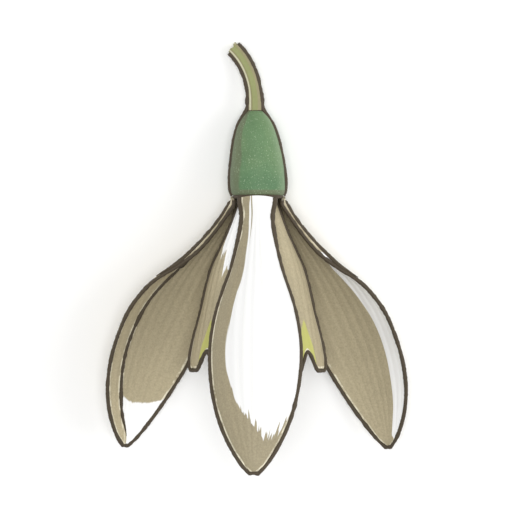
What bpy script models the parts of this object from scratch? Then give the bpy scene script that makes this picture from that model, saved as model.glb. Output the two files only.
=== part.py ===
"""One snowdrop flower, picked with a short piece of its stalk and laid on its side.

The flower is shaped in its own frame, as it hangs: the origin is the middle of the ovary's flat base, +Z
runs up the stalk, the tepals hang down -Z, and -Y is the side that the middle outer tepal is on.  An azimuth
is measured from that side towards +X.  At the end the whole flower is turned onto its side, so that it rests
on the two side tepals and on the stalk's end, with the middle tepal on top.
"""

import math

import bmesh
import bpy
from mathutils import Matrix, Vector

MM = 0.001

# Clearance that separates two solids which touch in the living flower.
GAP = 0.3 * MM

# Ovary: height above its base against radius, from the flat base to the top, where the stalk sits.
OVARY_PROFILE = [
    (0.0, 2.05), (0.15, 2.27), (0.5, 2.4), (1.2, 2.45), (2.1, 2.4), (3.1, 2.28), (4.2, 2.1),
    (5.2, 1.88), (6.0, 1.62), (6.6, 1.33), (7.05, 1.03), (7.35, 0.77), (7.5, 0.6),
]
OVARY_SIDES = 30
OVARY_LOBES = 3
OVARY_LOBE_DEPTH = 0.025
OVARY_HEIGHT = OVARY_PROFILE[-1][0] * MM
# The ovary's top stands off the axis by this, towards -X, and the power that the shift grows with.
OVARY_LEAN = 0.26 * MM
OVARY_LEAN_POWER = 1.3

# Stalk (pedicel): it leaves the ovary straight and bends to one side, more and more towards its cut end.
STALK_LENGTH = 5.75 * MM
STALK_RADIUS = 0.52 * MM
STALK_FOOT_SPREAD = 0.16
STALK_FOOT_SHARE = 1 / 3
STALK_BEND = math.radians(47)
STALK_BEND_POWER = 1.25
STALK_CUT = math.radians(10)
STALK_SIDES = 12
STALK_RINGS = 12

# Outer tepals: how far along against half the flat width, and against the midrib's lean, 1 being the mean
# lean.  The middle tepal has a slimmer neck than the two at the sides.
OUTER_LENGTH = 25.0 * MM
OUTER_HALF_WIDTH = 4.55 * MM
OUTER_CLAW_RADIUS = 2.2 * MM
OUTER_THICKNESS = 0.4 * MM
OUTER_OUTLINE = [
    (0.0, 0.4), (0.06, 0.37), (0.13, 0.46), (0.23, 0.67), (0.35, 0.88), (0.46, 0.98), (0.56, 1.0),
    (0.67, 0.94), (0.78, 0.78), (0.86, 0.6), (0.92, 0.42), (0.97, 0.23), (1.0, 0.07),
]
MIDDLE_OUTLINE = [
    (0.0, 0.35), (0.06, 0.3), (0.13, 0.36), (0.23, 0.53), (0.35, 0.78), (0.46, 0.94), (0.56, 1.0),
    (0.67, 0.94), (0.78, 0.78), (0.86, 0.6), (0.92, 0.42), (0.97, 0.23), (1.0, 0.07),
]
OUTER_LEAN = [(0.0, 1.2), (0.1, 1.55), (0.25, 1.6), (0.45, 1.2), (0.7, 0.72), (1.0, 0.2)]
OUTER_CELLS = (12, 24)
# Rows of cells crowd towards the tip, where the outline turns fastest, by this power.
OUTER_ROW_POWER = 1.25

# Inner tepals: shorter, straighter and notched at the end.
INNER_LENGTH = 15.4 * MM
INNER_HALF_WIDTH = 3.45 * MM
INNER_CLAW_RADIUS = 1.45 * MM
INNER_THICKNESS = 0.36 * MM
INNER_OUTLINE = [(0.0, 0.36), (0.08, 0.49), (0.2, 0.7), (0.4, 0.88), (0.6, 0.97), (0.8, 1.0), (1.0, 0.94)]
INNER_LEAN = [(0.0, 1.4), (0.2, 1.6), (0.5, 1.0), (0.8, 0.7), (1.0, 0.5)]
INNER_NOTCH_DEPTH = 0.11
INNER_NOTCH_REACH = 0.42
INNER_CORNER_ROUND = 0.07
INNER_CORNER_START = 0.78
INNER_CORNER_POWER = 2.2
INNER_CELLS = (12, 16)

# Share of the thickness that is left at a tepal's margins, and how close to the margin and the end it thins.
MARGIN_SHARE = 0.55
MARGIN_POWER = 4
MARGIN_END = 0.1

# Shares along a tepal: where the claw's arc has opened to the blade's, where the blade has turned about its
# midrib and starts to flatten towards the end, and how much of its arc it loses there.
CLAW_SHARE = 0.4
TURN_SHARE = 0.55
FLATTENING = 0.45

# Stamens and style, inside the inner tepals.
STAMEN_COUNT = 6
STAMEN_CIRCLE = 0.82 * MM
STAMEN_FILAMENT_LENGTH = 1.9 * MM
STAMEN_FILAMENT_RADIUS = 0.14 * MM
ANTHER_LENGTH = 5.4 * MM
ANTHER_HALF_WIDTH = 0.4 * MM
ANTHER_HALF_DEPTH = 0.27 * MM
ANTHER_CIRCLE = 1.12 * MM
ANTHER_TIP_CIRCLE = 0.72 * MM
STAMEN_SIDES = 8
STYLE_LENGTH = 9.6 * MM
STYLE_RADIUS = 0.2 * MM
STYLE_SIDES = 10

# Each tepal: its azimuth, its midrib's mean lean out from the axis, the half angle of its cross-section's arc
# at the widest place and how far the blade turns about its midrib, all in degrees; then an outer tepal's
# outline, and an inner tepal's width as a share of INNER_HALF_WIDTH.
OUTER_TEPALS = {
    "outer_tepal_middle": {"azimuth": -2, "lean": 19, "cup": 58, "turn": 0, "outline": MIDDLE_OUTLINE},
    "outer_tepal_right": {"azimuth": 118, "lean": 26.6, "cup": 38, "turn": 28, "outline": OUTER_OUTLINE},
    "outer_tepal_left": {"azimuth": -118, "lean": 27.2, "cup": 36, "turn": -28, "outline": OUTER_OUTLINE},
}
INNER_TEPALS = {
    "inner_tepal_right": {"azimuth": 61, "lean": 13.5, "cup": 42, "turn": -9, "width": 1},
    "inner_tepal_left": {"azimuth": -61, "lean": 14, "cup": 42, "turn": 9, "width": 1},
    "inner_tepal_back": {"azimuth": 180, "lean": 9, "cup": 44, "turn": 0, "width": 0.86},
}

# How often the flower is levelled on its three lowest points, which change while it turns.
SETTLING_TURNS = 12


def smooth_curve(points, x):
    """The height at x of a smooth curve through the points, which are in order of their first number."""
    last = len(points) - 2
    i = max(0, min(last, sum(1 for p in points[1:-1] if x >= p[0])))
    (x0, y0), (x1, y1) = points[i], points[i + 1]
    before = points[i - 1] if i > 0 else points[i]
    after = points[i + 2] if i < last else points[i + 1]
    slope0 = (y1 - before[1]) / (x1 - before[0])
    slope1 = (after[1] - y0) / (after[0] - x0)
    t = (x - x0) / (x1 - x0)
    span = x1 - x0
    return (
        (2 * t**3 - 3 * t**2 + 1) * y0
        + (t**3 - 2 * t**2 + t) * span * slope0
        + (3 * t**2 - 2 * t**3) * y1
        + (t**3 - t**2) * span * slope1
    )


def ease(t):
    """0 to 1, starting and ending gently."""
    t = max(0.0, min(1.0, t))
    return t * t * (3 - 2 * t)


def outward(azimuth):
    """The direction away from the flower's axis at that azimuth."""
    return Vector((math.sin(azimuth), -math.cos(azimuth), 0))


def material(name, colour, roughness):
    """A plain Principled material."""
    made = bpy.data.materials.new(name)
    made.use_nodes = True
    shader = made.node_tree.nodes["Principled BSDF"]
    shader.inputs["Base Color"].default_value = (*colour, 1)
    shader.inputs["Roughness"].default_value = roughness
    shader.inputs["Metallic"].default_value = 0
    return made


def new_object(name, shape, finish):
    """An object for a finished bmesh, shaded smooth where its faces meet gently."""
    mesh = bpy.data.meshes.new(name)
    bmesh.ops.recalc_face_normals(shape, faces=shape.faces)
    shape.to_mesh(mesh)
    shape.free()
    mesh.shade_smooth()
    mesh.set_sharp_from_angle(angle=math.radians(50))
    mesh.materials.append(finish)
    made = bpy.data.objects.new(name, mesh)
    bpy.context.scene.collection.objects.link(made)
    return made


def loft(name, rings, finish):
    """A closed solid through rings of equally many points, with each end closed by a fan to its middle."""
    shape = bmesh.new()
    loops = [[shape.verts.new(p) for p in ring] for ring in rings]
    sides = len(loops[0])
    for lower, upper in zip(loops, loops[1:]):
        for i in range(sides):
            j = (i + 1) % sides
            shape.faces.new((lower[i], lower[j], upper[j], upper[i]))
    for loop in (loops[0], loops[-1]):
        middle = shape.verts.new(sum((v.co for v in loop), Vector()) / sides)
        for i in range(sides):
            shape.faces.new((loop[i], loop[(i + 1) % sides], middle))
    return new_object(name, shape, finish)


def ring(centre, side, depth, sides):
    """The points of an ellipse with those two half axes."""
    angles = [2 * math.pi * i / sides for i in range(sides)]
    return [centre + side * math.cos(a) + depth * math.sin(a) for a in angles]


def ovary(finish):
    """The green seed capsule: a turned profile with three faint lobes."""
    rings = []
    for height, radius in OVARY_PROFILE:
        points = []
        for i in range(OVARY_SIDES):
            a = 2 * math.pi * i / OVARY_SIDES
            r = radius * MM * (1 - OVARY_LOBE_DEPTH * (1 + math.cos(OVARY_LOBES * a)) / 2)
            shift = OVARY_LEAN * (height * MM / OVARY_HEIGHT) ** OVARY_LEAN_POWER
            points.append(outward(a) * r + Vector((-shift, 0, height * MM)))
        rings.append(points)
    return loft("ovary", rings, finish)


def stalk(finish):
    """The short cut length of stalk, which bends towards -X and ends in a slanting cut."""
    rings = []
    centre = Vector((-OVARY_LEAN, 0, OVARY_HEIGHT + GAP))
    step = STALK_LENGTH / STALK_RINGS
    for i in range(STALK_RINGS + 1):
        angle = STALK_BEND * (i / STALK_RINGS) ** STALK_BEND_POWER
        along = Vector((-math.sin(angle), 0, math.cos(angle)))
        side = Vector((math.cos(angle), 0, math.sin(angle)))
        slant = math.tan(STALK_CUT) if i == STALK_RINGS else 0
        radius = STALK_RADIUS * (1 + STALK_FOOT_SPREAD * (1 - ease(i / STALK_RINGS / STALK_FOOT_SHARE)))
        rings.append(ring(centre, (side + along * slant) * radius, Vector((0, radius, 0)), STALK_SIDES))
        centre = centre + along * step
    return loft("pedicel", rings, finish)


def midrib(tepal, length, claw_radius, leans, steps=200):
    """The midrib's points, with the lean of each, from the ovary to the tip, at even steps along it."""
    across, down = claw_radius, -GAP
    out = outward(math.radians(tepal["azimuth"]))
    mean = sum(smooth_curve(leans, (i + 0.5) / steps) for i in range(steps)) / steps
    line = []
    for i in range(steps + 1):
        lean = math.radians(tepal["lean"]) * smooth_curve(leans, i / steps) / mean
        line.append((out * across + Vector((0, 0, down)), lean))
        across += math.sin(lean) * length / steps
        down -= math.cos(lean) * length / steps
    return line


def tepal_point(tepal, line, along, across, half_width, claw_radius):
    """The point of a tepal's middle surface at shares along (0 to 1) and across (-1 to 1)."""
    place = along * (len(line) - 1)
    i = min(int(place), len(line) - 2)
    (p0, lean0), (p1, lean1) = line[i], line[i + 1]
    t = place - i
    point, lean = p0.lerp(p1, t), lean0 + (lean1 - lean0) * t
    azimuth = math.radians(tepal["azimuth"])
    out = outward(azimuth)
    down = (out * math.sin(lean) + Vector((0, 0, -math.cos(lean)))).normalized()
    back = (out * math.cos(lean) + Vector((0, 0, math.sin(lean)))).normalized()
    turn = Matrix.Rotation(math.radians(tepal["turn"]) * ease(along / TURN_SHARE), 3, -down)
    side = turn @ outward(azimuth + math.pi / 2)
    back = turn @ back
    # The claw follows the ovary's rim, and the blade opens to its own arc.
    claw_arc = half_width / claw_radius
    blade_arc = math.radians(tepal["cup"]) * (1 - FLATTENING * ease((along - TURN_SHARE) / (1 - TURN_SHARE)))
    arc = claw_arc + (blade_arc - claw_arc) * ease(along / CLAW_SHARE)
    radius = half_width / arc
    return point + side * radius * math.sin(arc * across) - back * radius * (1 - math.cos(arc * across))


def notched_end(across):
    """How far an inner tepal reaches at that share across: two round lobes with a notch between them."""
    notch = INNER_NOTCH_DEPTH * (1 - ease(abs(across) / INNER_NOTCH_REACH))
    past = max(0.0, abs(across) - INNER_CORNER_START) / (1 - INNER_CORNER_START)
    corner = INNER_CORNER_ROUND * past**INNER_CORNER_POWER
    return 1 - notch - corner


def sheet(name, cells, thickness, place, finish):
    """A curved sheet, thinner at its margins, with place giving each point of its middle surface."""
    shape = bmesh.new()
    bmesh.ops.create_grid(shape, x_segments=cells[0], y_segments=cells[1], size=1)
    shares = [(v.co.x, (v.co.y + 1) / 2) for v in shape.verts]
    for v, (across, along) in zip(shape.verts, shares):
        v.co = place(across, along)
    made = new_object(name, shape, finish)
    depth = made.vertex_groups.new(name="thickness")
    for i, (across, along) in enumerate(shares):
        edge = max(abs(across), 1 - (1 - along) / MARGIN_END) ** MARGIN_POWER
        depth.add([i], 1 - (1 - MARGIN_SHARE) * edge, "REPLACE")
    solid = made.modifiers.new("thickness", "SOLIDIFY")
    solid.thickness = thickness
    solid.offset = 0
    solid.use_even_offset = True
    solid.vertex_group = depth.name
    return made


def outer_tepal(name, tepal, finish):
    """A long spoon-shaped tepal with a narrow claw."""
    line = midrib(tepal, OUTER_LENGTH, OUTER_CLAW_RADIUS, OUTER_LEAN)

    def place(across, along):
        u = 1 - (1 - along) ** OUTER_ROW_POWER
        half_width = OUTER_HALF_WIDTH * smooth_curve(tepal["outline"], u)
        return tepal_point(tepal, line, u, across, half_width, OUTER_CLAW_RADIUS)

    return sheet(name, OUTER_CELLS, OUTER_THICKNESS, place, finish)


def inner_tepal(name, tepal, finish):
    """A short wedge-shaped tepal that ends in two lobes."""
    line = midrib(tepal, INNER_LENGTH, INNER_CLAW_RADIUS, INNER_LEAN)

    def place(across, along):
        u = along * notched_end(across)
        half_width = INNER_HALF_WIDTH * tepal["width"] * smooth_curve(INNER_OUTLINE, u)
        return tepal_point(tepal, line, u, across, half_width, INNER_CLAW_RADIUS)

    return sheet(name, INNER_CELLS, INNER_THICKNESS, place, finish)


def stamen(number, finish):
    """A thin filament that carries a long pointed anther."""
    azimuth = 2 * math.pi * (number - 0.5) / STAMEN_COUNT
    out, side = outward(azimuth), outward(azimuth + math.pi / 2)
    filament, anther = STAMEN_FILAMENT_LENGTH, ANTHER_LENGTH
    thread, width, depth = STAMEN_FILAMENT_RADIUS, ANTHER_HALF_WIDTH, ANTHER_HALF_DEPTH
    # Distance down, distance from the axis, half width and half depth.
    stations = [
        (0.0, STAMEN_CIRCLE, thread, thread),
        (0.5 * filament, STAMEN_CIRCLE + 0.05 * MM, thread, thread),
        (0.95 * filament, ANTHER_CIRCLE - 0.03 * MM, thread, thread),
        (filament, ANTHER_CIRCLE, 0.6 * width, 0.7 * depth),
        (filament + 0.08 * anther, ANTHER_CIRCLE, 0.95 * width, depth),
        (filament + 0.3 * anther, ANTHER_CIRCLE, width, depth),
        (filament + 0.55 * anther, ANTHER_CIRCLE - 0.08 * MM, 0.82 * width, 0.9 * depth),
        (filament + 0.8 * anther, ANTHER_TIP_CIRCLE + 0.14 * MM, 0.5 * width, 0.6 * depth),
        (filament + anther, ANTHER_TIP_CIRCLE, 0.12 * width, 0.2 * depth),
    ]
    rings = [
        ring(out * circle + Vector((0, 0, -GAP - down)), side * half_width, out * half_depth, STAMEN_SIDES)
        for down, circle, half_width, half_depth in stations
    ]
    return loft(f"stamen_{number}", rings, finish)


def style(finish):
    """The thread in the middle of the flower, a little thicker towards its blunt tip."""
    stations = [(0.0, 0.8), (0.3, 0.75), (0.6, 0.9), (0.85, 1.1), (0.95, 1.0), (1.0, 0.5)]
    rings = [
        ring(
            Vector((0, 0, -GAP - STYLE_LENGTH * down)),
            Vector((STYLE_RADIUS * share, 0, 0)),
            Vector((0, STYLE_RADIUS * share, 0)),
            STYLE_SIDES,
        )
        for down, share in stations
    ]
    return loft("style", rings, finish)


def world_points(pieces):
    """The corners of the pieces' finished meshes, thickness included, in world space."""
    graph = bpy.context.evaluated_depsgraph_get()
    found = []
    for piece in pieces:
        done = piece.evaluated_get(graph)
        found += [piece.matrix_world @ v.co for v in done.data.vertices]
    return found


def lay_down(flower, pieces):
    """Turns the flower onto its side and lets it down on its two side tepals and the end with the stalk."""
    supports = [
        [pieces["outer_tepal_left"]],
        [pieces["outer_tepal_right"]],
        [pieces["ovary"], pieces["pedicel"]],
    ]
    flower.matrix_world = Matrix.Rotation(math.radians(-90), 4, "X")
    for _ in range(SETTLING_TURNS):
        bpy.context.view_layer.update()
        left, right, stem = (min(world_points(group), key=lambda p: p.z) for group in supports)
        level = (right - left).cross(stem - left).normalized()
        upright = level.rotation_difference(Vector((0, 0, 1))).to_matrix().to_4x4()
        flower.matrix_world = upright @ flower.matrix_world
    # The stalk points along +Y, and the box around the flower is centred on the origin's foot.
    bpy.context.view_layer.update()
    axis = flower.matrix_world.to_3x3() @ Vector((0, 0, 1))
    flower.matrix_world = Matrix.Rotation(math.atan2(axis.x, axis.y), 4, "Z") @ flower.matrix_world
    bpy.context.view_layer.update()
    points = world_points(pieces.values())
    low = Vector(tuple(min(p[k] for p in points) for k in range(3)))
    high = Vector(tuple(max(p[k] for p in points) for k in range(3)))
    foot = Vector(((low.x + high.x) / 2, (low.y + high.y) / 2, low.z))
    flower.matrix_world = Matrix.Translation(-foot) @ flower.matrix_world
    bpy.context.view_layer.update()


def main():
    for old in list(bpy.data.objects):
        bpy.data.objects.remove(old)
    white = material("tepal_white", (0.75, 0.72, 0.62), 0.55)
    cream = material("inner_tepal_cream", (0.62, 0.6, 0.4), 0.55)
    green = material("ovary_green", (0.19, 0.31, 0.17), 0.45)
    olive = material("stalk_olive", (0.33, 0.32, 0.16), 0.5)
    orange = material("anther_orange", (0.8, 0.4, 0.05), 0.6)
    pale_green = material("style_green", (0.5, 0.6, 0.3), 0.5)
    pieces = [ovary(green), stalk(olive), style(pale_green)]
    pieces += [outer_tepal(name, tepal, white) for name, tepal in OUTER_TEPALS.items()]
    pieces += [inner_tepal(name, tepal, cream) for name, tepal in INNER_TEPALS.items()]
    pieces += [stamen(number, orange) for number in range(1, STAMEN_COUNT + 1)]
    flower = bpy.data.objects.new("flower_frame", None)
    bpy.context.scene.collection.objects.link(flower)
    for piece in pieces:
        piece.parent = flower
    lay_down(flower, {piece.name: piece for piece in pieces})


main()
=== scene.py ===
"""The looks of one snowdrop flower that lies on its side, seen from above.

Every shape is drawn in the flower's own frame, as it hangs: the origin is the middle of the ovary's flat
base, +Z runs up the stalk, and -Y is the side that the middle outer tepal is on.  An azimuth is measured from
that side towards +X.  A place on a tepal is given as a share across it, -1 to 1, and a share along it, 0 at
the ovary and 1 at the end.
"""

import math

import bmesh
import bpy
from mathutils import Matrix, Vector, noise


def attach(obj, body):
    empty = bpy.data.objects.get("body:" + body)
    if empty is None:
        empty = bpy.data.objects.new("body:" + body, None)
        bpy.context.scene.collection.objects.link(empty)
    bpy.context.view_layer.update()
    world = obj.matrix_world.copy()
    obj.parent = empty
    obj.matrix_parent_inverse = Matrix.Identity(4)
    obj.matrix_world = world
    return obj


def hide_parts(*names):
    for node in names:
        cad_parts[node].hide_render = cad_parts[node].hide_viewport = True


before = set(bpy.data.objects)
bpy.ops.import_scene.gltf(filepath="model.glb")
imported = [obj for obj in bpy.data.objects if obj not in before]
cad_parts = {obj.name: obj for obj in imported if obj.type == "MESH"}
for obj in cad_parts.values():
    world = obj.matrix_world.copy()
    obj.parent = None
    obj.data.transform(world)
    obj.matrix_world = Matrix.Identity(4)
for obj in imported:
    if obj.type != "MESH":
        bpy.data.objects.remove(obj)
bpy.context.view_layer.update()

MM = 0.001

# The gap that the CAD keeps between touching pieces.  To close it, a piece here reaches into its neighbour by
# ROOTING, and an outer tepal's claw and a rib do by CLAW_ROOTING.
GAP = 0.3 * MM
ROOTING = 0.5 * MM
CLAW_ROOTING = 0.36 * MM

OVARY_PROFILE = [
    (0.0, 2.05), (0.15, 2.27), (0.5, 2.4), (1.2, 2.45), (2.1, 2.4), (3.1, 2.28), (4.2, 2.1),
    (5.2, 1.88), (6.0, 1.62), (6.6, 1.33), (7.05, 1.03), (7.35, 0.77), (7.5, 0.6),
]
OVARY_HEIGHT = OVARY_PROFILE[-1][0] * MM
OVARY_LEAN = 0.26 * MM
OVARY_LEAN_POWER = 1.3
OVARY_LOBES = 3
OVARY_LOBE_DEPTH = 0.025
# Height and fineness of the skin's bumps.
OVARY_BUMPS = ((0.03 * MM, 1100), (0.05 * MM, 420))

STALK_LENGTH = 5.75 * MM
STALK_RADIUS = 0.52 * MM
STALK_FOOT_SPREAD = 0.16
STALK_FOOT_SHARE = 1 / 3
STALK_BEND = math.radians(47)
STALK_BEND_POWER = 1.25
STALK_CUT = math.radians(10)
STALK_CUT_RINGS = 10
STALK_TEAR = 0.26 * MM
STALK_RIBS = 8
STALK_RIB_DEPTH = 0.05
STALK_STEPS = 60
PITH_RADIUS = 0.85 * STALK_RADIUS

OUTER = {
    "length": 25.0 * MM,
    "half_width": 4.55 * MM,
    "claw_radius": 2.2 * MM,
    "thickness": 0.34 * MM,
    "lean_curve": [(0.0, 1.2), (0.1, 1.55), (0.25, 1.6), (0.45, 1.2), (0.7, 0.72), (1.0, 0.2)],
    "furrows": 5,
    "furrow_depth": 0.05 * MM,
    "cells": (64, 130),
}
# The outer tepals' half widths as shares of the widest: they differ in their claws and are alike beyond.
BLADE_OUTLINE = [
    (0.56, 1.0), (0.67, 0.94), (0.78, 0.78), (0.86, 0.6), (0.92, 0.42), (0.97, 0.23), (1.0, 0.07),
]
OUTER_OUTLINE = [
    (0.0, 0.4), (0.06, 0.37), (0.13, 0.46), (0.23, 0.67), (0.35, 0.88), (0.46, 0.98), *BLADE_OUTLINE,
]
MIDDLE_OUTLINE = [
    (0.0, 0.35), (0.06, 0.3), (0.13, 0.36), (0.23, 0.53), (0.35, 0.78), (0.46, 0.94), *BLADE_OUTLINE,
]
INNER = {
    "length": 15.4 * MM,
    "half_width": 3.45 * MM,
    "claw_radius": 1.45 * MM,
    "thickness": 0.3 * MM,
    "lean_curve": [(0.0, 1.4), (0.2, 1.6), (0.5, 1.0), (0.8, 0.7), (1.0, 0.5)],
    "furrows": 4,
    "furrow_depth": 0.06 * MM,
    "cells": (64, 90),
}
INNER_OUTLINE = [(0.0, 0.36), (0.08, 0.49), (0.2, 0.7), (0.4, 0.88), (0.6, 0.97), (0.8, 1.0), (1.0, 0.94)]
BACK_OUTLINE = [(along, 0.86 * share) for along, share in INNER_OUTLINE]
NOTCH_DEPTH = 0.11
NOTCH_REACH = 0.42
CORNER_ROUND = 0.07
CORNER_START = 0.78
CORNER_POWER = 2.2

# Shares of a tepal's length at which its claw has opened into the blade and the blade has turned fully, and
# the share of its arc that the blade loses from there to its end.
CLAW_SHARE = 0.4
TURN_SHARE = 0.55
FLATTENING = 0.45

# The share of its thickness that a sheet has left at its margins and its end, and the share of its length
# over which it thins at the end.
MARGIN_SHARE = 0.55
MARGIN_END = 0.1
MARGIN_POWER = 6

MIDRIB_STEPS = 200
# The rows of a tepal's mesh lie closer together towards its end.
ROW_POWER = 1.2
SHARP_ANGLE = math.radians(50)

STAMEN_COUNT = 6
STAMEN_CIRCLE = 0.82 * MM
FILAMENT_LENGTH = 1.9 * MM
FILAMENT_RADIUS = 0.14 * MM
ANTHER_LENGTH = 5.4 * MM
ANTHER_HALF_WIDTH = 0.4 * MM
ANTHER_HALF_DEPTH = 0.27 * MM
ANTHER_CIRCLE = 1.12 * MM
ANTHER_TIP_CIRCLE = 0.72 * MM
ANTHER_GROOVE_DEPTH = 0.42
ANTHER_GROOVE_WIDTH = 0.3
ANTHER_GRAIN = 0.05
STYLE_LENGTH = 9.6 * MM
STYLE_RADIUS = 0.2 * MM

# Each tepal: azimuth, the midrib's mean lean, the half angle of its arc and the blade's turn, in degrees.
OUTER_TEPALS = {
    "outer_tepal_middle": {"azimuth": -2, "lean": 19, "cup": 58, "turn": 0, "outline": MIDDLE_OUTLINE},
    "outer_tepal_right": {"azimuth": 118, "lean": 26.6, "cup": 38, "turn": 28, "outline": OUTER_OUTLINE},
    "outer_tepal_left": {"azimuth": -118, "lean": 27.2, "cup": 36, "turn": -28, "outline": OUTER_OUTLINE},
}
INNER_TEPALS = {
    "inner_tepal_right": {"azimuth": 61, "lean": 13.5, "cup": 42, "turn": -9, "outline": INNER_OUTLINE},
    "inner_tepal_left": {"azimuth": -61, "lean": 14, "cup": 42, "turn": 9, "outline": INNER_OUTLINE},
    "inner_tepal_back": {"azimuth": 180, "lean": 9, "cup": 44, "turn": 0, "outline": BACK_OUTLINE},
}

# Radii of the brown ribs.
TEPAL_RIB = 0.18 * MM
SEAM_RIB = 0.25 * MM
RIB_SIDES = 8

# How far the ribs stand off the middle of the sheet that they run along, outwards.
FRONT_LIFT = 0.12 * MM
SIDE_LIFT = -0.072 * MM
FOLD_LIFT = -0.19 * MM
RIM_LIFT = 0.15 * MM

# A rib round a margin is thicker by this share at the claw, except on the two side outer tepals.
CLAW_THICKENING = 0.25
# How uneven the ribs' thickness is.
MARGIN_ROUGHNESS = 0.22
FOLD_ROUGHNESS = 0.35
SEAM_ROUGHNESS = 0.15
FOOT_ROUGHNESS = 0.2
# The share along at which the rib on a tepal's curled side meets the margin.
OUTER_RIM_END = 0.36
INNER_RIM_END = 0.8

# The line of the left outer tepal's fold, drawn on it as a rib and past which its colour changes: share along
# against share across.
FOLD = [
    (0.2, 0.36), (0.25, 0.31), (0.32, 0.33), (0.37, 0.4), (0.415, 0.46), (0.48, 0.5), (0.55, 0.52),
    (0.68, 0.53), (0.82, 0.45), (0.9, 0.33), (0.965, 0.03),
]
# Beyond this share along, the fold's share across stays the same.
FOLD_END = 0.98

# The ovary's side ribs lie at this angle from its front.  It has a brown ring round its foot and one round
# its neck: height, how far forward it stands and how thick it is.
SEAM_AZIMUTH = math.radians(88)
SEAM_RINGS = ((-0.02 * MM, 1.09, 0.72), (OVARY_HEIGHT, 0.95, 0.22))

# Colours, as linear red, green and blue.
# The tepals' khaki is painted shade laid over their white, which shows where they are left lit.
SHADED_KHAKI = (0.42, 0.361, 0.234)
# A darker copy of the khaki for the middle tepal, which faces the lights: painted shade.
SHADED_KHAKI_TOP = (0.315, 0.271, 0.175)
# Cream: painted highlight lines inside the tepals' margins and beside the fold, and the tint of the veins on
# the white.
CREAM = (0.8, 0.75, 0.58)
WHITE = (0.95, 0.95, 0.94)
# A darker copy of WHITE for the middle tepal, which faces the lights: painted shade.
WHITE_TOP = (0.82, 0.82, 0.81)
BROWN = (0.065, 0.049, 0.03)
MARK_GREEN = (0.5, 0.5, 0.14)
OVARY_GREEN = (0.14, 0.23, 0.11)
OVARY_BLUE_GREEN = (0.08, 0.175, 0.085)
OVARY_SHADE = (0.135, 0.158, 0.09)
# Pale green: a painted highlight on the ovary's right, and the colour of its flecks.
OVARY_PALE_HIGHLIGHT_AND_FLECKS = (0.36, 0.46, 0.3)
STALK_BEIGE = (0.275, 0.25, 0.135)
STALK_GREEN = (0.245, 0.262, 0.1)
# Cream: a painted highlight streak down the stalk, and the colour of its cut pith.
STALK_CREAM = (0.62, 0.6, 0.42)
FILAMENT_WHITE = (0.8, 0.8, 0.66)
ANTHER_ORANGE = (0.78, 0.4, 0.05)
STYLE_GREEN = (0.6, 0.65, 0.38)
FLOOR_WHITE = (0.96, 0.96, 0.955)

# Shares of a full turn round the ovary or the stalk: the left side, up which the ovary's painted shade lies,
# the pale painted highlight on the ovary's right, and the stalk's cream streak, a painted highlight, which is
# left of its front.
LEFT_AROUND = 0.75
HIGHLIGHT_AROUND = 0.22
STALK_HIGHLIGHT_AROUND = 0.62

FLOOR_CORNERS = ((-1, -1), (1, -1), (1, 1), (-1, 1))
FLOOR_HALF = 2.0
FLOOR_DROP = -0.04 * MM


# ---------------- shapes in the flower's frame


def smooth_curve(points, x):
    """The height at x of a smooth curve through the points, which are in order of their first number."""
    last = len(points) - 2
    i = max(0, min(last, sum(1 for p in points[1:-1] if x >= p[0])))
    (x0, y0), (x1, y1) = points[i], points[i + 1]
    before = points[i - 1] if i > 0 else points[i]
    after = points[i + 2] if i < last else points[i + 1]
    slope0 = (y1 - before[1]) / (x1 - before[0])
    slope1 = (after[1] - y0) / (after[0] - x0)
    t = (x - x0) / (x1 - x0)
    span = x1 - x0
    return (
        (2 * t**3 - 3 * t**2 + 1) * y0
        + (t**3 - 2 * t**2 + t) * span * slope0
        + (3 * t**2 - 2 * t**3) * y1
        + (t**3 - t**2) * span * slope1
    )


def ease(t):
    """0 to 1, starting and ending gently."""
    t = max(0.0, min(1.0, t))
    return t * t * (3 - 2 * t)


def outward(azimuth):
    """The direction away from the flower's axis at that azimuth."""
    return Vector((math.sin(azimuth), -math.cos(azimuth), 0))


def middle(points):
    return sum(points, Vector()) / len(points)


def relaxed(points):
    """The line with each point moved to the middle of itself and its neighbours, two on each side."""
    return [middle(points[max(0, i - 2): i + 3]) for i in range(len(points))]


def turns(count):
    """The angles of that many even steps round a circle."""
    return [2 * math.pi * k / count for k in range(count)]


def corners(name):
    """The corners of a CAD node's mesh, each once."""
    found = {tuple(round(c, 8) for c in v.co): v.co.copy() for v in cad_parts[name].data.vertices}
    return list(found.values())


def flower_frame():
    """The matrix from the flower's own frame to the shared one: up the style, with the back tepal at +Y."""
    points = corners("style")
    end_band = 0.25 * MM
    near = max(p.y for p in points) - end_band
    far = min(p.y for p in points) + end_band
    top = middle([p for p in points if p.y > near])
    tip = middle([p for p in points if p.y < far])
    up = (top - tip).normalized()
    back = middle(corners("inner_tepal_back")) - top
    back = (back - up * back.dot(up)).normalized()
    right = back.cross(up)
    origin = top + up * GAP
    return Matrix((
        (right.x, back.x, up.x, origin.x),
        (right.y, back.y, up.y, origin.y),
        (right.z, back.z, up.z, origin.z),
        (0, 0, 0, 1),
    ))


FLOWER = flower_frame()


def midrib(tepal, form):
    """The midrib's points, with the lean of each, from the ovary to the tip, at even steps along it."""
    across, down = form["claw_radius"], -GAP
    out = outward(math.radians(tepal["azimuth"]))
    curve, count = form["lean_curve"], MIDRIB_STEPS
    mean = sum(smooth_curve(curve, (i + 0.5) / count) for i in range(count)) / count
    line = []
    for i in range(count + 1):
        lean = math.radians(tepal["lean"]) * smooth_curve(curve, i / count) / mean
        line.append((out * across + Vector((0, 0, down)), lean))
        across += math.sin(lean) * form["length"] / count
        down -= math.cos(lean) * form["length"] / count
    return line


def half_width_at(tepal, form, along):
    return form["half_width"] * smooth_curve(tepal["outline"], max(0.0, along))


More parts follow.
